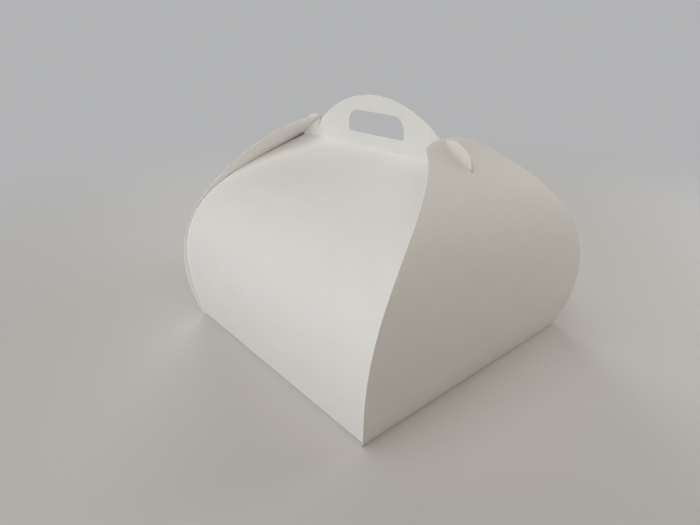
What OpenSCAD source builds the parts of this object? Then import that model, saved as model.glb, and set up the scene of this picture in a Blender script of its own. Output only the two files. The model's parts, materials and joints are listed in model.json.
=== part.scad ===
// Cake carrier box folded from one sheet of white card: a square base, two curved
// handle flaps that meet in a pair of arched handles, and two slot flaps whose
// slits close over the hooks at the ends of the handles.
// The origin is at the middle of the underside. X runs along the handles, the
// front handle flap faces -Y, and Z is up.

/* [Card] */
// Thickness of the card
card_t = 0.5; // [0.4:0.05:0.8]
// Clearance between the slot flaps and the rest of the box
fit_gap = 0.3; // [0.2:0.05:0.5]
// Gap between the faces of the two handles
handle_gap = 0.2; // [0.1:0.05:0.4]

/* [Base] */
// Side of the square base, from crease to crease
base_side = 250; // [236:1:270]
// Centre line radius of the folds at the front and back of the base
fold_r = 0.5; // [0.4:0.1:1]

/* [Handle flaps] */
// Height of the crease where the roof turns up into the handle
crease_h = 174.4; // [168:0.2:178]
// Centre line radius of the soft crease under the handle
crease_r = 2.5; // [1.5:0.1:3]
// Slope of the roof where it reaches the crease, in degrees
roof_slope = 26; // [20:1:32]
// Length of the pull that sets the slope at the top of the roof
roof_pull = 76; // [66:1:84]
// Lean of the handle flap out from the base, in degrees from upright
front_lean = 12.5; // [8:0.5:14]
// Length of the pull that sets the height of the front's belly
front_pull = 142; // [132:1:152]
// How far the side edge draws back from the slot flap where it reaches the crease
edge_draw = 2.4; // [1:0.1:4]
// Share of the side edge's length at which it starts to draw back
edge_draw_from = 0.84; // [0.7:0.01:0.9]

/* [Slot flaps] */
// Height of the slot flap's top edge above the crease under the handle
slot_rise = 20.9; // [18:0.1:25]
// Distance of the slot flap's top edge from the middle of the box
slot_top_x = 76; // [70:0.2:82]
// Slope of the slot flap at its top edge, in degrees
slot_top_slope = 21.5; // [17:0.5:25]
// Length of the pull that sets the slope at the top edge
slot_top_pull = 84.5; // [78:0.5:92]
// Lean of the slot flap out from the base, in degrees from upright
slot_lean = 24; // [20:0.5:27]
// Length of the pull that sets the slot flap's belly
slot_pull = 42.5; // [36:0.5:48]
// How far the slot flap reaches past the base corner at its crease
corner_overlap = 2.5; // [1.5:0.1:4]
// How far the first pull on the slot flap's side edge lies outside the base
side_pull_out = 27.5; // [23:0.5:35]
// Height of the first pull
side_pull_h = 91.5; // [84:0.5:98]
// How far the second pull on the side edge lies inside the base
shoulder_pull_in = 11.5; // [6:0.5:18]
// Height of the second pull
shoulder_pull_h = 132; // [126:1:138]
// Half width of the slot flap's top corner, where the side edge ends
lobe_w = 26; // [22:0.5:30]
// Drop of that corner below the top edge
lobe_drop = 2.8; // [2:0.2:5]
// Radius of the rounded top edge, seen from above
nose_r = 50; // [44:1:58]
// Half width of that rounding
nose_w = 42; // [38:1:43]

/* [Handles] */
// Height of the handles above their crease
handle_h = 46.1; // [42:0.1:52]
// Gap between the end of the arch and the slot flap's top edge
arch_end_gap = 2.8; // [2:0.1:4]
// Width of the hand hole
hole_w = 70; // [60:1:80]
// Height of the hand hole
hole_h = 19.5; // [14:0.5:20]
// Height of the hand hole's lower edge above the crease
hole_rise = 12.4; // [10:0.2:16]
// Radius of the hand hole's upper corners
hole_top_r = 12.5; // [9:0.5:14]
// Radius of the hand hole's lower corners
hole_bottom_r = 2; // [1:0.1:3]

/* [Hooks and slits] */
// Width of the bridge of card that closes the slit at the top edge
bridge_w = 2.4; // [2:0.1:3]
// Distance from the bridge to the hook's inner side
hook_side_gap = 1; // [0.6:0.1:1.6]
// Length of the hook's top, from its inner side to where its back curves down
hook_top_w = 6.5; // [5:0.5:9]
// Height of the hook's upright foot above the crease
hook_foot_h = 3.6; // [3:0.1:5]
// Depth of the notch between the arch and the hook, below the bridge
notch_depth = 5; // [4:0.2:7]
// Length of the cut that runs on from the bottom of the notch
relief_l = 5.5; // [4:0.5:7]
// Width of that cut
relief_w = 0.6; // [0.4:0.1:1]
// Lean of that cut from upright, in degrees
relief_lean = 32; // [24:1:40]
// Length of the pull that carries the foot's upright line into the hook's back
hook_foot_pull = 10.5; // [8:0.5:13]
// Length of the pull that rounds the hook's back into its top
hook_back_pull = 6.1; // [4:0.1:8]
// How far the slit runs on past the foot of the hook
slit_end_gap = 1.4; // [0.8:0.1:2]

/* [Hidden] */
half_side = base_side / 2;
half_t = card_t / 2;
slot_top_h = crease_h + slot_rise;
handle_top_h = crease_h + handle_h;
curve_steps = 32;
arc_steps = 10;
// Shapes that cut the card run this far past it
over = 10;
reach = base_side + 8 * over;

function bezier(p, t) =
    pow(1 - t, 3) * p[0] + 3 * pow(1 - t, 2) * t * p[1] + 3 * (1 - t) * t * t * p[2] + pow(t, 3) * p[3];
function bezier_way(p, t) =
    pow(1 - t, 2) * (p[1] - p[0]) + 2 * (1 - t) * t * (p[2] - p[1]) + t * t * (p[3] - p[2]);
function bezier_points(p, from = 0, to = 1) =
    [for (i = [0:curve_steps]) bezier(p, from + (to - from) * i / curve_steps)];
function arc(c, r, from, to, steps = arc_steps) =
    [for (i = [0:steps]) let (a = from + (to - from) * i / steps) c + r * [cos(a), sin(a)]];
function unit(v) = v / norm(v);
function left_of(v) = [-unit(v)[1], unit(v)[0]];
function reversed(p) = [for (i = [len(p) - 1:-1:0]) p[i]];
function mirrored(p) = [for (q = reversed(p)) [-q[0], q[1]]];
// The way a line of points runs at one of them
function way(p, i) =
    unit((i > 0 ? unit(p[i] - p[i - 1]) : [0, 0]) + (i < len(p) - 1 ? unit(p[i + 1] - p[i]) : [0, 0]));
function shifted(p, d) = [for (i = [0:len(p) - 1]) p[i] + d * left_of(way(p, i))];
// A strip of card along a centre line
function strip(p) = concat(shifted(p, -half_t), reversed(shifted(p, half_t)));

// The centre line of a slot flap seen from the front, from its crease to its top edge
hinge_at = [half_side, half_t];
slot_line = [
    hinge_at,
    hinge_at + slot_pull * [sin(slot_lean), cos(slot_lean)],
    [slot_top_x, slot_top_h] + slot_top_pull * [cos(slot_top_slope), -sin(slot_top_slope)],
    [slot_top_x, slot_top_h]
];
// The point beside that line, at a share of its length and a distance inside it
function inside_slot(t, d) = bezier(slot_line, t) + d * left_of(bezier_way(slot_line, t));
// The share of the line at which the point d inside it reaches a height
function share_at_height(h, d, low = 0, high = 1, tries = 40) =
    let (mid = (low + high) / 2)
    tries == 0 ? mid :
    inside_slot(mid, d)[1] < h ? share_at_height(h, d, mid, high, tries - 1)
                               : share_at_height(h, d, low, mid, tries - 1);
// The share of the upper half of the line at which the point d inside it reaches x
function share_at_x(x, d, low = 0.5, high = 1, tries = 40) =
    let (mid = (low + high) / 2)
    tries == 0 ? mid :
    inside_slot(mid, d)[0] > x ? share_at_x(x, d, mid, high, tries - 1)
                               : share_at_x(x, d, low, mid, tries - 1);

// The side edge of a slot flap seen from its own side
slot_edge = [
    [half_side + corner_overlap, 0],
    [half_side + side_pull_out, side_pull_h],
    [half_side - shoulder_pull_in, shoulder_pull_h],
    [lobe_w, slot_top_h - lobe_drop]
];

// The centre line of the folded sheet seen from the right, from the middle of the base
handle_y = (handle_gap + card_t) / 2;
crease_arc_h = crease_h + crease_r * (cos(roof_slope) - (1 - sin(roof_slope)) * tan(roof_slope));
fold_arc = arc([half_side - fold_r * cos(front_lean), half_t + fold_r], fold_r, -90, -front_lean);
crease_arc = arc([handle_y + crease_r, crease_arc_h], crease_r, 270 - roof_slope, 180);
front_line = [
    fold_arc[arc_steps],
    fold_arc[arc_steps] + front_pull * [sin(front_lean), cos(front_lean)],
    crease_arc[0] + roof_pull * [cos(roof_slope), -sin(roof_slope)],
    crease_arc[0]
];
front_points = bezier_points(front_line);
half_line = concat(
    fold_arc,
    [for (i = [1:curve_steps - 1]) front_points[i]],
    crease_arc,
    [[handle_y, handle_top_h + over]]
);
sheet_line = concat(mirrored(half_line), half_line);

// The side edge of a handle flap seen from the front, up to the foot of the hook
side_gap = half_t + fit_gap;
foot_share = share_at_height(crease_h, side_gap);
foot = inside_slot(foot_share, side_gap);
flap_edge = [
    for (i = [0:curve_steps])
        let (share = i / curve_steps, drawn = max(0, share - edge_draw_from) / (1 - edge_draw_from))
        inside_slot(foot_share * share, side_gap + edge_draw * pow(drawn, 1.5))
];

// The slit and its bridge, and the hook that clears the bridge as the flap swings
slit_w = 2 * card_t + handle_gap + 2 * fit_gap;
slit_from = slot_top_x + bridge_w;
slit_to = foot[0] + slit_end_gap;
bridge_low = inside_slot(share_at_x(slit_from, half_t), half_t);
hook_reach = norm(bridge_low - hinge_at) - fit_gap;
hook_inner = slit_from + hook_side_gap;
hook_back = hook_inner + hook_top_w;
hook_angles = [for (x = [hook_inner, hook_back]) acos((x - half_side) / hook_reach)];
hook_top = arc(hinge_at, hook_reach, hook_angles[1], hook_angles[0]);
foot_top = [foot[0], crease_h + hook_foot_h];
hook_curve = [
    foot_top,
    foot_top + [0, hook_foot_pull],
    hook_top[0] + hook_back_pull * [sin(hook_angles[1]), -cos(hook_angles[1])],
    hook_top[0]
];
notch = [hook_inner, bridge_low[1] - notch_depth];
relief_end = notch + relief_l * [sin(relief_lean), -cos(relief_lean)];
relief_side = relief_w * [cos(relief_lean), sin(relief_lean)];

// The arch is a circle through its top and its two ends
arch_end = [slot_top_x - arch_end_gap, slot_top_h - half_t];
arch_rise = handle_top_h - arch_end[1];
arch_r = (pow(arch_end[0], 2) + pow(arch_rise, 2)) / (2 * arch_rise);
arch_half_angle = asin(arch_end[0] / arch_r);
arch_half = arc([0, handle_top_h - arch_r], arch_r, 90 - arch_half_angle, 90, curve_steps);

right_outline = concat(
    [[flap_edge[0][0], -over]],
    flap_edge,
    [foot],
    bezier_points(hook_curve),
    [for (i = [1:arc_steps]) hook_top[i]],
    [notch, relief_end, relief_end - relief_side, notch - relief_side],
    arch_half
);
sheet_outline = concat(right_outline, mirrored(right_outline));

hole_low = crease_h + hole_rise;
hole_half = concat(
    arc([hole_w / 2 - hole_bottom_r, hole_low + hole_bottom_r], hole_bottom_r, -90, 0),
    arc([hole_w / 2 - hole_top_r, hole_low + hole_h - hole_top_r], hole_top_r, 0, 90)
);

module along_x() rotate([90, 0, 90]) linear_extrude(reach, center = true) children();
module along_y() rotate([90, 0, 0]) linear_extrude(reach, center = true) children();

module base_and_handle_flaps() {
    color([0.84, 0.83, 0.81])
    difference() {
        intersection() {
            along_x() polygon(strip(sheet_line));
            along_y() polygon(sheet_outline);
        }
        along_y() polygon(concat(hole_half, mirrored(hole_half)));
    }
}

// The slot flap's cross section, with a round bead of card on its hinge line
module slot_section() {
    line = bezier_points(slot_line);
    start = 90 - slot_lean;
    bead = arc(hinge_at, half_t, start + 90, start + 270);
    polygon(concat(strip(line), [for (i = [1:arc_steps - 1]) bead[i]]));
}

module slot_side_outline() {
    edge = concat([[slot_edge[0][0], -over]], bezier_points(slot_edge), [[lobe_w, slot_top_h + over]]);
    polygon(concat(edge, mirrored(edge)));
}

module slot_plan_outline() {
    nose_angle = asin(nose_w / nose_r);
    nose = arc([slot_top_x + nose_r, 0], nose_r, 180 - nose_angle, 180 + nose_angle, curve_steps);
    polygon(concat(nose, [
        [nose[0][0], -reach / 2], [reach / 2, -reach / 2],
        [reach / 2, reach / 2], [nose[0][0], reach / 2]
    ]));
}

module slot_flap() {
    color([0.72, 0.7, 0.67])
    difference() {
        intersection() {
            along_y() slot_section();
            along_x() slot_side_outline();
            linear_extrude(reach) slot_plan_outline();
        }
        translate([slit_from, -slit_w / 2, crease_h - over])
            cube([slit_to - slit_from, slit_w, slot_top_h - crease_h + 2 * over]);
    }
}

module right_slot_flap() slot_flap();
module left_slot_flap() mirror([1, 0, 0]) slot_flap();

base_and_handle_flaps();
right_slot_flap();
left_slot_flap();
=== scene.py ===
import json
import math

import bpy
from mathutils import Matrix, Vector


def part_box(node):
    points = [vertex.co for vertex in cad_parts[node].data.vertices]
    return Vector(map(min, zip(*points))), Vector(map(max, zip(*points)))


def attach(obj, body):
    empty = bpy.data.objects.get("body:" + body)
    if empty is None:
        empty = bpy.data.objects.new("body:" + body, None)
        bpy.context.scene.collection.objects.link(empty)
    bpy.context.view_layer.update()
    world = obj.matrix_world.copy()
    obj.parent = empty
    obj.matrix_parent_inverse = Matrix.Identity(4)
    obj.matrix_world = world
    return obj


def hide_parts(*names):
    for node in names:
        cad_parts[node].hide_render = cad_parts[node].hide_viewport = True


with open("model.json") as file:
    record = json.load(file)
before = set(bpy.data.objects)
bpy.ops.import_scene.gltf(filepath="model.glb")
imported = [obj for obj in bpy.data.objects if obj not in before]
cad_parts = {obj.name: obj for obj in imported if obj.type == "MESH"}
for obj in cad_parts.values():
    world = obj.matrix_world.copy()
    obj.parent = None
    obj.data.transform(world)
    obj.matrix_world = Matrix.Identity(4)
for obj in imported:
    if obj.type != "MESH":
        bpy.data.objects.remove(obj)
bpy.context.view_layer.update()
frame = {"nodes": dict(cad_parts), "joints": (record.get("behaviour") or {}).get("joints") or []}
print("frame loaded:", sorted(frame["nodes"]))

# lengths are in metres and angles in degrees
card = {
    "thickness": 0.0005,
    "gap": 0.0003,            # clearance of the slot flaps
    "slitGap": 0.0001,        # beside the hooks
    "handleGap": 0.0002,      # between the faces of the two handles
    "creaseGap": 0.00005,     # what shows of the crease beside the base
    "creaseSteps": 5,         # faces round the crease beside the base
    "creaseShare": 0.98,      # of half the thickness that is rounded there
    "smoothAngle": 30,
}
halfCard = card["thickness"] / 2
nearHalfCard = halfCard * 1.1  # takes in the points on both faces of the card
reach = 0.33                  # sheets and cutters start this wide, then are trimmed
over = 0.01                   # how far an outline runs past the sheet
tiny = 1e-6
halvings = 40                 # of the stretch that shareWhere searches


def unit(angle):
    return Vector((math.cos(math.radians(angle)), math.sin(math.radians(angle))))


def bezier(knots, t):
    # the point at t, a share from 0 to 1, on the line that the four knots draw
    a, b, c, d = knots
    s = 1 - t
    return s ** 3 * a + 3 * s ** 2 * t * b + 3 * s * t ** 2 * c + t ** 3 * d


def bezierWay(knots, t):
    # the way the line runs at t
    a, b, c, d = knots
    s = 1 - t
    return s ** 2 * (b - a) + 2 * s * t * (c - b) + t ** 2 * (d - c)


def beside(knots, t, distance):
    # the point at t, moved to the left of the way the line runs
    way = bezierWay(knots, t).normalized()
    return bezier(knots, t) + distance * Vector((-way.y, way.x))


def shareWhere(knots, distance, passed, low=0.0, high=1.0):
    # the share of the line at which the point beside it passes a test
    for _ in range(halvings):
        middle = (low + high) / 2
        if passed(beside(knots, middle, distance)):
            high = middle
        else:
            low = middle
    return (low + high) / 2


def arc(centre, radius, start, end, steps):
    turn = (end - start) / steps
    return [centre + radius * unit(start + turn * i) for i in range(steps + 1)]


def pointsAlong(knots, steps):
    return [bezier(knots, i / steps) for i in range(steps + 1)]


def mirrored(points):
    # the same points on the other side of x = 0, in the opposite order
    return [Vector((-p.x, p.y)) for p in reversed(points)]


def selectOnly(piece):
    bpy.ops.object.select_all(action="DESELECT")
    piece.select_set(True)
    bpy.context.view_layer.objects.active = piece


def applyAll(piece):
    selectOnly(piece)
    for modifier in list(piece.modifiers):
        bpy.ops.object.modifier_apply(modifier=modifier.name)


def selectVertices(piece, wanted):
    # leaves the piece in edit mode with only the wanted vertices selected
    bpy.ops.object.mode_set(mode="EDIT")
    bpy.ops.mesh.select_mode(type="VERT")
    bpy.ops.mesh.select_all(action="DESELECT")
    bpy.ops.object.mode_set(mode="OBJECT")
    for vertex in piece.data.vertices:
        vertex.select = wanted(vertex.co)
    bpy.ops.object.mode_set(mode="EDIT")


def extrudeBy(x, y, z):
    bpy.ops.mesh.extrude_region_move(TRANSFORM_OT_translate={"value": (x, y, z)})


def spinAbout(centre, turn, steps):
    # continues the line in an arc in the plane across X
    bpy.ops.mesh.spin(steps=steps, angle=turn, center=centre, axis=(1, 0, 0))


def facesOut(piece, isWrong):
    # turns an open sheet over when the face that the test picks looks inwards
    if any(isWrong(face) for face in piece.data.polygons):
        bpy.ops.object.mode_set(mode="EDIT")
        bpy.ops.mesh.select_all(action="SELECT")
        bpy.ops.mesh.flip_normals()
        bpy.ops.object.mode_set(mode="OBJECT")


def addBezierLine(name, knots, segments):
    bpy.ops.object.select_all(action="DESELECT")
    bpy.ops.curve.primitive_bezier_curve_add()
    line = bpy.context.object
    line.name = name
    spline = line.data.splines[0]
    spline.resolution_u = segments
    start, end = spline.bezier_points
    for point in (start, end):
        point.handle_left_type = point.handle_right_type = "FREE"
    start.co, start.handle_left, start.handle_right = knots[0], knots[0], knots[1]
    end.co, end.handle_left, end.handle_right = knots[3], knots[2], knots[3]
    bpy.ops.object.convert(target="MESH")
    return bpy.context.object


def addCutter(name, loops, facing):
    # a flat outline, filled and made a long prism; its faces give the cut edges their finish
    flat = bpy.data.curves.new(name, "CURVE")
    flat.dimensions = "2D"
    flat.fill_mode = "BOTH"
    flat.extrude = reach
    for loop in loops:
        spline = flat.splines.new("POLY")
        spline.points.add(len(loop) - 1)
        spline.use_cyclic_u = True
        for point, spot in zip(spline.points, loop):
            point.co = (spot.x, spot.y, 0, 1)
    cutter = bpy.data.objects.new(name, flat)
    bpy.context.scene.collection.objects.link(cutter)
    turns = {"front": Matrix.Rotation(math.pi / 2, 4, "X"), "top": Matrix.Identity(4)}
    turns["side"] = Matrix.Rotation(math.pi / 2, 4, "Z") @ turns["front"]
    cutter.matrix_world = turns[facing]
    selectOnly(cutter)
    bpy.ops.object.convert(target="MESH")
    bpy.ops.object.transform_apply(location=True, rotation=True, scale=True)
    bpy.ops.object.mode_set(mode="EDIT")
    bpy.ops.mesh.select_all(action="SELECT")
    bpy.ops.mesh.remove_doubles(threshold=tiny / 10)
    bpy.ops.mesh.normals_make_consistent(inside=False)
    bpy.ops.object.mode_set(mode="OBJECT")
    cutter.data.materials.clear()
    cutter.data.materials.append(materials["cutEdge"])
    return cutter


def cut(piece, cutter, operation):
    # operation is INTERSECT to keep what is inside the cutter, or DIFFERENCE to take it out
    trim = piece.modifiers.new("trim", "BOOLEAN")
    trim.operation = operation
    trim.solver = "MANIFOLD"
    trim.object = cutter
    trim.material_mode = "TRANSFER"
    applyAll(piece)
    bpy.data.objects.remove(cutter)


def addThickness(piece):
    # the outer face keeps the first material, the inner face and the rim take the next two
    for name in ("outside", "inside", "cutEdge"):
        piece.data.materials.append(materials[name])
    thick = piece.modifiers.new("card", "SOLIDIFY")
    thick.thickness = card["thickness"]
    thick.offset = 0
    thick.use_even_offset = True
    thick.material_offset = 1
    thick.material_offset_rim = 2
    applyAll(piece)


def finishPiece(piece, name, body, node):
    selectOnly(piece)
    bpy.ops.object.shade_smooth_by_angle(angle=math.radians(card["smoothAngle"]))
    piece.name = name
    piece.data.name = name
    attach(piece, body)
    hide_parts(node)
    print(name, "has", len(piece.data.vertices), "vertices")


fibre = {
    "feltScale": 1800.0,      # fine fibres in all directions
    "feltNoise": {"detail": 3, "roughness": 0.6},
    "grainScale": 260.0,      # long fibres along the grain
    "grainStretch": (0.18, 1, 1),
    "grainNoise": {"detail": 4, "roughness": 0.65},
    "cloudScale": 45.0,       # cloudy patches
    "cloudNoise": {"detail": 2, "roughness": 0.5},
}
finish = {
    "cloudShare": 0.6,        # of the colour's changes, and the rest is grain
    "grainShare": 0.4,
    "darkAt": 0.3,
    "lightAt": 0.7,
    "reliefDepth": 0.00005,
    "glossSpread": 0.06,
    "specular": 0.3,
    "glow": 0.35,             # light that spreads inside the card
    "glowColour": (1.0, 0.9, 0.75),
    "glowDepth": 0.0006,
}
# light and dark are the two shades that the fibres and cloudy patches run between
cardFaces = {
    "outside": {
        "name": "cardOutside", "light": (0.76, 0.745, 0.70), "dark": (0.735, 0.72, 0.672),
        "roughness": 0.62, "bump": 0.35,
    },
    # the inside is partly the card's own white and partly painted light: it is made lighter to
    # stand in for light bounced onto the inner faces and shining through the card
    "inside": {
        "name": "cardInsidePaintedLighter", "light": (0.895, 0.885, 0.875), "dark": (0.875, 0.865, 0.855),
        "roughness": 0.85, "bump": 0.6,
    },
    "cutEdge": {
        "name": "cardCutEdge", "light": (0.80, 0.78, 0.73), "dark": (0.68, 0.66, 0.61),
        "roughness": 0.9, "bump": 1.0,
    },
}


def addGroup(name, inputs, outputs):
    group = bpy.data.node_groups.new(name, "ShaderNodeTree")
    for label, kind, value in inputs:
        socket = group.interface.new_socket(label, in_out="INPUT", socket_type=kind)
        if value is not None:
            socket.default_value = value
    for label, kind in outputs:
        group.interface.new_socket(label, in_out="OUTPUT", socket_type=kind)
    start = group.nodes.new("NodeGroupInput")
    end = group.nodes.new("NodeGroupOutput")
    return group, start, end


def addNoise(tree, vector, scale, detail, roughness):
    noise = tree.nodes.new("ShaderNodeTexNoise")
    tree.links.new(scale, noise.inputs["Scale"])
    noise.inputs["Detail"].default_value = detail
    noise.inputs["Roughness"].default_value = roughness
    tree.links.new(vector, noise.inputs["Vector"])
    return noise


def addMath(tree, operation, first, second):
    node = tree.nodes.new("ShaderNodeMath")
    node.operation = operation
    for socket, value in zip(node.inputs, (first, second)):
        if isinstance(value, (int, float)):
            socket.default_value = value
        else:
            tree.links.new(value, socket)
    return node.outputs[0]


def makeFibreGroup():
    group, start, end = addGroup(
        "cardFibre",
        [
            ("Vector", "NodeSocketVector", None),
            ("Felt Scale", "NodeSocketFloat", fibre["feltScale"]),
            ("Grain Scale", "NodeSocketFloat", fibre["grainScale"]),
            ("Cloud Scale", "NodeSocketFloat", fibre["cloudScale"]),
        ],
        [("Felt", "NodeSocketFloat"), ("Grain", "NodeSocketFloat"), ("Cloud", "NodeSocketFloat")],
    )
    stretch = group.nodes.new("ShaderNodeMapping")
    stretch.inputs["Scale"].default_value = fibre["grainStretch"]
    place = start.outputs["Vector"]
    group.links.new(place, stretch.inputs["Vector"])
    alongGrain = stretch.outputs["Vector"]
    felt = addNoise(group, place, start.outputs["Felt Scale"], **fibre["feltNoise"])
    grain = addNoise(group, alongGrain, start.outputs["Grain Scale"], **fibre["grainNoise"])
    cloud = addNoise(group, place, start.outputs["Cloud Scale"], **fibre["cloudNoise"])
    for noise, label in ((felt, "Felt"), (grain, "Grain"), (cloud, "Cloud")):
        group.links.new(noise.outputs[0], end.inputs[label])
    return group


def makeCard(name, light, dark, roughness, bump):
    material = bpy.data.materials.new(name)
    material.use_nodes = True
    tree = material.node_tree
    surface = tree.nodes["Principled BSDF"]
    spot = tree.nodes.new("ShaderNodeTexCoord")
    fibres = tree.nodes.new("ShaderNodeGroup")
    fibres.node_tree = fibreGroup
    tree.links.new(spot.outputs["Object"], fibres.inputs["Vector"])
    patches = addMath(tree, "MULTIPLY", fibres.outputs["Cloud"], finish["cloudShare"])
    threads = addMath(tree, "MULTIPLY", fibres.outputs["Grain"], finish["grainShare"])
    shade = tree.nodes.new("ShaderNodeValToRGB")
    darkEnd, lightEnd = shade.color_ramp.elements
    darkEnd.position, darkEnd.color = finish["darkAt"], (*dark, 1)
    lightEnd.position, lightEnd.color = finish["lightAt"], (*light, 1)
    tree.links.new(addMath(tree, "ADD", patches, threads), shade.inputs["Fac"])
    tree.links.new(shade.outputs["Color"], surface.inputs["Base Color"])
    height = addMath(tree, "ADD", fibres.outputs["Felt"], fibres.outputs["Grain"])
    relief = tree.nodes.new("ShaderNodeBump")
    relief.inputs["Strength"].default_value = bump
    relief.inputs["Distance"].default_value = finish["reliefDepth"]
    tree.links.new(height, relief.inputs["Height"])
    tree.links.new(relief.outputs["Normal"], surface.inputs["Normal"])
    gloss = tree.nodes.new("ShaderNodeMapRange")
    gloss.inputs["To Min"].default_value = roughness - finish["glossSpread"]
    gloss.inputs["To Max"].default_value = roughness + finish["glossSpread"]
    tree.links.new(fibres.outputs["Cloud"], gloss.inputs["Value"])
    tree.links.new(gloss.outputs["Result"], surface.inputs["Roughness"])
    surface.inputs["Specular IOR Level"].default_value = finish["specular"]
    surface.inputs["Subsurface Weight"].default_value = finish["glow"]
    surface.inputs["Subsurface Radius"].default_value = finish["glowColour"]
    surface.inputs["Subsurface Scale"].default_value = finish["glowDepth"]
    return material


fibreGroup = makeFibreGroup()
materials = {face: makeCard(**look) for face, look in cardFaces.items()}
print("card finishes made")


# the line of a slot flap seen from the front, which the side edges of the handle flaps follow too
slotFlap = {
    "topRise": 0.0209,        # above the crease under the handle
    "topX": 0.076,
    "topSlope": 21.5,
    "topPull": 0.0845,
    "lean": 24,               # outwards, at the base
    "pull": 0.0425,
    "cornerOverlap": 0.0025,  # how far the flap starts past the base's corner
    "sidePullOut": 0.0275,    # the bowed side edge
    "sidePullHeight": 0.0915,
    "shoulderPullIn": 0.0115,
    "shoulderPullHeight": 0.132,
    "lobeWidth": 0.026,       # the rounded top
    "lobeDrop": 0.0028,
    "noseRadius": 0.050,
    "noseWidth": 0.042,
    "bridge": 0.0024,         # card that closes the slit at the top edge
    "slitEndGap": 0.0007,     # past the foot of the hook
    "slitEndLength": 0.0022,  # the end of the slit flares open
    "slitEndWidth": 0.0026,
    "edgeSteps": 96,
    "noseSteps": 48,
    "segments": 160,
    "crossSteps": 40,
}
rightHinge = next(j for j in frame["joints"] if j["child"] == "right_flap")["pos_m"]
hinge = Vector((rightHinge[0], rightHinge[2]))
halfSide = hinge.x
handleFlap = {
    "foldRadius": 0.0005,     # beside the base
    "foldSteps": 8,
    "creaseHeight": 0.1744,   # the crease under the handle
    "creaseRadius": 0.0025,
    "creaseSteps": 14,
    "roofSlope": 26,
    "roofPull": 0.076,
    "lean": 12.5,             # outwards, at the base
    "pull": 0.142,
    "edgeDraw": 0.0024,       # how far the side edge draws back from the slot flap at the crease
    "edgeDrawFrom": 0.84,     # share of the edge at which it starts to
    "edgeDrawBend": 1.5,
    "edgeSteps": 96,
    "top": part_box("base_and_handle_flaps")[1].z,
    "archEndGap": 0.0028,     # between the handle's arch and the nose of the slot flap
    "archSteps": 72,
    "holeWidth": 0.070,       # the hand hole
    "holeHeight": 0.0195,
    "holeRise": 0.0124,
    "holeTopRadius": 0.0125,
    "holeTopSteps": 18,
    "holeBottomRadius": 0.002,
    "holeBottomSteps": 6,
    "hookSideGap": 0.001,     # the hooks at both ends
    "hookTop": 0.0065,
    "hookTopSteps": 12,
    "hookFoot": 0.0036,
    "hookFootPull": 0.0105,
    "hookBackPull": 0.0061,
    "hookBackSteps": 24,
    "notchDepth": 0.005,      # between the arch and the hook
    "reliefLength": 0.0055,   # the cut that runs on from the notch
    "reliefWidth": 0.0006,
    "reliefLean": 32,
    "segments": 180,
    "crossSteps": 48,
}
slotTop = Vector((slotFlap["topX"], handleFlap["creaseHeight"] + slotFlap["topRise"]))
slotLine = [
    hinge,
    hinge + slotFlap["pull"] * unit(90 - slotFlap["lean"]),
    slotTop + slotFlap["topPull"] * unit(-slotFlap["topSlope"]),
    slotTop,
]
sideGap = halfCard + card["gap"]
footShare = shareWhere(slotLine, sideGap, lambda p: p.y > handleFlap["creaseHeight"])
foot = beside(slotLine, footShare, sideGap)
slitFrom = slotTop.x + slotFlap["bridge"]
slitTo = foot.x + slotFlap["slitEndGap"]


def handleSheetOutline():
    # the outline of the base, handle flaps and handles seen from the front
    edge = []
    drawFrom = handleFlap["edgeDrawFrom"]
    for i in range(handleFlap["edgeSteps"] + 1):
        along = i / handleFlap["edgeSteps"]
        drawn = max(0, along - drawFrom) / (1 - drawFrom)
        drawBack = handleFlap["edgeDraw"] * drawn ** handleFlap["edgeDrawBend"]
        edge.append(beside(slotLine, footShare * along, sideGap + drawBack))
    edge[0] = Vector((hinge.x - halfCard - card["creaseGap"], edge[0].y))
    upperHalf = 0.5
    bridgeShare = shareWhere(slotLine, halfCard, lambda p: p.x < slitFrom, low=upperHalf)
    bridgeLow = beside(slotLine, bridgeShare, halfCard)
    hookReach = (bridgeLow - hinge).length - card["gap"]
    hookInner = slitFrom + handleFlap["hookSideGap"]
    angles = [
        math.degrees(math.acos((x - hinge.x) / hookReach))
        for x in (hookInner, hookInner + handleFlap["hookTop"])
    ]
    top = arc(hinge, hookReach, angles[1], angles[0], handleFlap["hookTopSteps"])
    footTop = Vector((foot.x, handleFlap["creaseHeight"] + handleFlap["hookFoot"]))
    back = [
        footTop,
        footTop + Vector((0, handleFlap["hookFootPull"])),
        top[0] + handleFlap["hookBackPull"] * unit(angles[1] - 90),
        top[0],
    ]
    notch = Vector((hookInner, bridgeLow.y - handleFlap["notchDepth"]))
    reliefEnd = notch + handleFlap["reliefLength"] * unit(handleFlap["reliefLean"] - 90)
    reliefSide = handleFlap["reliefWidth"] * unit(handleFlap["reliefLean"])
    archEnd = Vector((slotTop.x - handleFlap["archEndGap"], slotTop.y - halfCard))
    rise = handleFlap["top"] - archEnd.y
    radius = (archEnd.x ** 2 + rise ** 2) / (2 * rise)
    half = math.degrees(math.asin(archEnd.x / radius))
    middle = Vector((0, handleFlap["top"] - radius))
    arch = arc(middle, radius, 90 - half, 90, handleFlap["archSteps"])
    right = [Vector((edge[0].x, -over)), *edge, foot]
    right += pointsAlong(back, handleFlap["hookBackSteps"])
    right += top[1:]
    right += [notch, reliefEnd, reliefEnd - reliefSide, notch - reliefSide]
    right += arch[:-1]
    return right + [arch[-1]] + mirrored(right)


def handHoleOutline():
    low = handleFlap["creaseHeight"] + handleFlap["holeRise"]
    high = low + handleFlap["holeHeight"]
    side = handleFlap["holeWidth"] / 2
    bottom, top = handleFlap["holeBottomRadius"], handleFlap["holeTopRadius"]
    lowCentre = Vector((side - bottom, low + bottom))
    highCentre = Vector((side - top, high - top))
    half = arc(lowCentre, bottom, -90, 0, handleFlap["holeBottomSteps"])
    half += arc(highCentre, top, 0, 90, handleFlap["holeTopSteps"])
    return half + mirrored(half)


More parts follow.
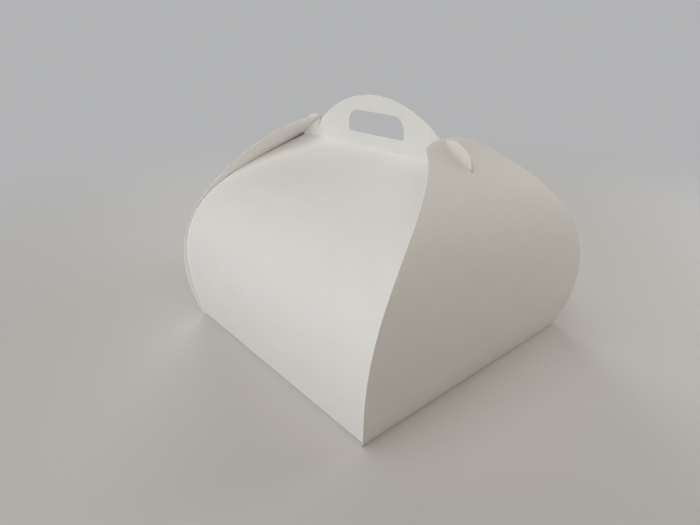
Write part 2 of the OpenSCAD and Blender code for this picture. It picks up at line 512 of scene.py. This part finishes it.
def makeFoldedSheet():
    lean, slope = handleFlap["lean"], handleFlap["roofSlope"]
    foldRadius, creaseRadius = handleFlap["foldRadius"], handleFlap["creaseRadius"]
    handleY = (card["handleGap"] + card["thickness"]) / 2
    foldTurn = math.radians(90 - lean)
    creaseTurn = math.radians(90 - slope)
    foldCentre = Vector((halfSide - foldRadius * math.sin(foldTurn), halfCard + foldRadius))
    foldEnd = foldCentre + foldRadius * unit(-lean)
    creaseLift = math.sin(creaseTurn) - (1 - math.cos(creaseTurn)) / math.tan(creaseTurn)
    creaseCentre = Vector((
        handleY + creaseRadius,
        handleFlap["creaseHeight"] + creaseRadius * creaseLift,
    ))
    creaseStart = creaseCentre + creaseRadius * unit(270 - slope)
    line = [
        foldEnd,
        foldEnd + handleFlap["pull"] * unit(90 - lean),
        creaseStart + handleFlap["roofPull"] * unit(-slope),
        creaseStart,
    ]

    def inRoom(p):
        # the line is drawn for the back of the box, and the front is its mirror image
        return Vector((-reach / 2, p.x, p.y))

    sheet = addBezierLine("foldedSheet", [inRoom(p) for p in line], handleFlap["segments"])
    selectVertices(sheet, lambda co: (co - inRoom(foldEnd)).length < tiny)
    spinAbout(inRoom(foldCentre), foldTurn, handleFlap["foldSteps"])
    extrudeBy(0, -foldCentre.x, 0)
    bpy.ops.object.mode_set(mode="OBJECT")
    selectVertices(sheet, lambda co: (co - inRoom(creaseStart)).length < tiny)
    spinAbout(inRoom(creaseCentre), creaseTurn, handleFlap["creaseSteps"])
    extrudeBy(0, 0, handleFlap["top"] + over - creaseCentre.y)
    bpy.ops.mesh.select_all(action="SELECT")
    for _ in range(handleFlap["crossSteps"]):
        extrudeBy(reach / handleFlap["crossSteps"], 0, 0)
    bpy.ops.object.mode_set(mode="OBJECT")
    facesOut(sheet, lambda face: face.center.z < nearHalfCard and face.normal.z > 0)
    other = sheet.modifiers.new("otherFlap", "MIRROR")
    other.use_axis = (False, True, False)
    other.merge_threshold = tiny
    applyAll(sheet)
    addThickness(sheet)
    outlines = [handleSheetOutline(), handHoleOutline()]
    cut(sheet, addCutter("sheetOutline", outlines, "front"), "INTERSECT")
    finishPiece(sheet, "foldedSheet", "base_and_handles", "base_and_handle_flaps")


def slotFlapOutline():
    # the side edges of a slot flap seen from its own side
    edge = [
        Vector((halfSide + slotFlap["cornerOverlap"], 0)),
        Vector((halfSide + slotFlap["sidePullOut"], slotFlap["sidePullHeight"])),
        Vector((halfSide - slotFlap["shoulderPullIn"], slotFlap["shoulderPullHeight"])),
        Vector((slotFlap["lobeWidth"], slotTop.y - slotFlap["lobeDrop"])),
    ]
    half = [Vector((edge[0].x, -over)), *pointsAlong(edge, slotFlap["edgeSteps"])]
    half.append(Vector((slotFlap["lobeWidth"], slotTop.y + over)))
    return half + mirrored(half)


def noseOutline():
    # the rounded top edge seen from above, with room for the rest of the flap behind it
    radius, width = slotFlap["noseRadius"], slotFlap["noseWidth"]
    half = math.degrees(math.asin(width / radius))
    middle = Vector((slotTop.x + radius, 0))
    nose = arc(middle, radius, 180 - half, 180 + half, slotFlap["noseSteps"])
    behind = ((nose[0].x, -reach), (reach, -reach), (reach, reach), (nose[0].x, reach))
    return nose + [Vector(corner) for corner in behind]


def slitOutline():
    # seen from above
    half = card["thickness"] + card["handleGap"] / 2 + card["slitGap"]
    end = slotFlap["slitEndWidth"] / 2
    flare = slitTo - slotFlap["slitEndLength"]
    side = [Vector((slitTo, end)), Vector((flare, half)), Vector((slitFrom, half))]
    return side + [Vector((p.x, -p.y)) for p in reversed(side)]


def makeSlotFlaps():
    # the right one is shaped, and the left one is its mirror image
    line = [Vector((p.x, -reach / 2, p.y)) for p in slotLine]
    flap = addBezierLine("rightSlotFlap", line, slotFlap["segments"])
    selectVertices(flap, lambda co: True)
    for _ in range(slotFlap["crossSteps"]):
        extrudeBy(0, reach / slotFlap["crossSteps"], 0)
    bpy.ops.object.mode_set(mode="OBJECT")
    nearTop = 0.9 * slotTop.y
    facesOut(flap, lambda face: face.center.z > nearTop and face.normal.z < 0)
    addThickness(flap)
    # the crease beside the base is round
    selectVertices(flap, lambda co: (Vector((co.x, co.z)) - hinge).length < nearHalfCard)
    bpy.ops.mesh.bevel(
        offset=halfCard * card["creaseShare"], segments=card["creaseSteps"], affect="EDGES",
    )
    bpy.ops.object.mode_set(mode="OBJECT")
    cut(flap, addCutter("flapOutline", [slotFlapOutline()], "side"), "INTERSECT")
    cut(flap, addCutter("noseOutline", [noseOutline()], "top"), "INTERSECT")
    cut(flap, addCutter("slitOutline", [slitOutline()], "top"), "DIFFERENCE")
    selectOnly(flap)
    bpy.ops.object.duplicate()
    left = bpy.context.object
    left.scale.x = -1
    bpy.ops.object.transform_apply(location=False, rotation=False, scale=True)
    bpy.ops.object.mode_set(mode="EDIT")
    bpy.ops.mesh.select_all(action="SELECT")
    bpy.ops.mesh.normals_make_consistent(inside=False)
    bpy.ops.object.mode_set(mode="OBJECT")
    finishPiece(flap, "rightSlotFlap", "right_flap", "right_slot_flap")
    finishPiece(left, "leftSlotFlap", "left_flap", "left_slot_flap")


makeFoldedSheet()
print("folded sheet made")
makeSlotFlaps()
print("slot flaps made")


# the room: a pale floor that fades into the backdrop, and soft lamps
room = {
    "floor": (0.563, 0.543, 0.509),
    "backdrop": (0.45, 0.453, 0.46),
    "floorSize": 30,
    "floorRoughness": 0.7,
    "fadeFrom": 0.2,          # distance from the box's middle at which the floor starts to fade
    "fadeTo": 0.95,
    "sky": (0.071, 0.067, 0.063),       # light from all round
}
lampTarget = Vector((0, 0, 0.1))
lamps = {
    "frontLow": {
        "place": (-0.1, -2.0, 0.2), "size": 1.0, "power": 20.1, "colour": (0.91, 0.93, 1.0),
    },
    "frontRight": {
        "place": (0.6, -2.0, 0.25), "size": 1.0, "power": 3.6, "colour": (1.0, 0.97, 0.96),
    },
    "topFront": {
        "place": (0, -0.8, 1.9), "size": 1.4, "power": 15.7, "colour": (0.96, 0.99, 1.0),
    },
    "rightHigh": {
        "place": (1.2, -0.2, 1.4), "size": 1.0, "power": 5.6, "colour": (1.0, 0.86, 0.74),
    },
    "backLeft": {
        "place": (-3.2, 1.7, 0.9), "size": 2.2, "power": 77, "colour": (0.99, 1.0, 1.0),
    },
    "backNear": {
        "place": (0.4, 0.95, 0.3), "size": 0.5, "power": 3.9, "colour": (0.96, 0.98, 1.0),
    },
}


def addSeen(tree):
    # rays that show the background: straight to the camera, or by way of gloss or glass
    path = tree.nodes.new("ShaderNodeLightPath")
    seen = addMath(tree, "MAXIMUM", path.outputs["Is Camera Ray"], path.outputs["Is Glossy Ray"])
    return addMath(tree, "MAXIMUM", seen, path.outputs["Is Transmission Ray"])


def makeFloor():
    bpy.ops.object.select_all(action="DESELECT")
    bpy.ops.mesh.primitive_plane_add(size=room["floorSize"])
    floor = bpy.context.object
    floor.name = "floor"
    material = bpy.data.materials.new("paleFloor")
    material.use_nodes = True
    tree = material.node_tree
    surface = tree.nodes["Principled BSDF"]
    surface.inputs["Base Color"].default_value = (*room["floor"], 1)
    surface.inputs["Roughness"].default_value = room["floorRoughness"]
    spot = tree.nodes.new("ShaderNodeTexCoord")
    far = tree.nodes.new("ShaderNodeVectorMath")
    far.operation = "LENGTH"
    tree.links.new(spot.outputs["Object"], far.inputs[0])
    fade = tree.nodes.new("ShaderNodeMapRange")
    fade.interpolation_type = "SMOOTHSTEP"
    fade.inputs["From Min"].default_value = room["fadeFrom"]
    fade.inputs["From Max"].default_value = room["fadeTo"]
    tree.links.new(far.outputs["Value"], fade.inputs["Value"])
    backdrop = tree.nodes.new("ShaderNodeEmission")
    backdrop.inputs["Color"].default_value = (*room["backdrop"], 1)
    mix = tree.nodes.new("ShaderNodeMixShader")
    faded = addMath(tree, "MULTIPLY", fade.outputs["Result"], addSeen(tree))
    tree.links.new(faded, mix.inputs["Fac"])
    tree.links.new(surface.outputs[0], mix.inputs[1])
    tree.links.new(backdrop.outputs[0], mix.inputs[2])
    tree.links.new(mix.outputs[0], tree.nodes["Material Output"].inputs["Surface"])
    floor.data.materials.append(material)


def makeWorld():
    world = bpy.data.worlds.new("softRoom")
    bpy.context.scene.world = world
    world.use_nodes = True
    tree = world.node_tree
    light = tree.nodes["Background"]
    light.inputs["Color"].default_value = (*room["sky"], 1)
    shown = tree.nodes.new("ShaderNodeBackground")
    shown.inputs["Color"].default_value = (*room["backdrop"], 1)
    mix = tree.nodes.new("ShaderNodeMixShader")
    tree.links.new(addSeen(tree), mix.inputs["Fac"])
    tree.links.new(light.outputs[0], mix.inputs[1])
    tree.links.new(shown.outputs[0], mix.inputs[2])
    tree.links.new(mix.outputs[0], tree.nodes["World Output"].inputs["Surface"])


def addLamp(name, place, size, power, colour):
    lamp = bpy.data.lights.new(name, "AREA")
    lamp.size = size
    lamp.energy = power
    lamp.color = colour
    holder = bpy.data.objects.new(name, lamp)
    bpy.context.scene.collection.objects.link(holder)
    holder.visible_camera = False
    holder.location = place
    holder.rotation_euler = (lampTarget - holder.location).to_track_quat("-Z", "Y").to_euler()


view = {
    "place": (0.344, -0.319, 0.2825),
    "heading": 140.1,         # from +X towards +Y
    "tilt": 25.0,             # below level
    "roll": 0.89,
    "focal": 530.1,           # in pixels of an image 700 wide
    "imageWidth": 700,
    "sensorWidth": 36,        # in millimetres
    "nearest": 0.01,
}


def makeCamera():
    eye = bpy.data.cameras.new("camera")
    eye.sensor_width = view["sensorWidth"]
    eye.lens = view["focal"] / view["imageWidth"] * eye.sensor_width
    eye.clip_start = view["nearest"]
    holder = bpy.data.objects.new("camera", eye)
    bpy.context.scene.collection.objects.link(holder)
    turn = Matrix.Rotation(math.radians(view["heading"] - 90), 4, "Z")
    turn = turn @ Matrix.Rotation(math.radians(90 - view["tilt"]), 4, "X")
    turn = turn @ Matrix.Rotation(math.radians(-view["roll"]), 4, "Z")
    holder.matrix_world = Matrix.Translation(view["place"]) @ turn
    bpy.context.scene.camera = holder


makeFloor()
makeWorld()
makeCamera()
for name, lamp in lamps.items():
    addLamp(name, **lamp)
bpy.context.scene.view_settings.view_transform = "Standard"
print("room, lamps and camera made")
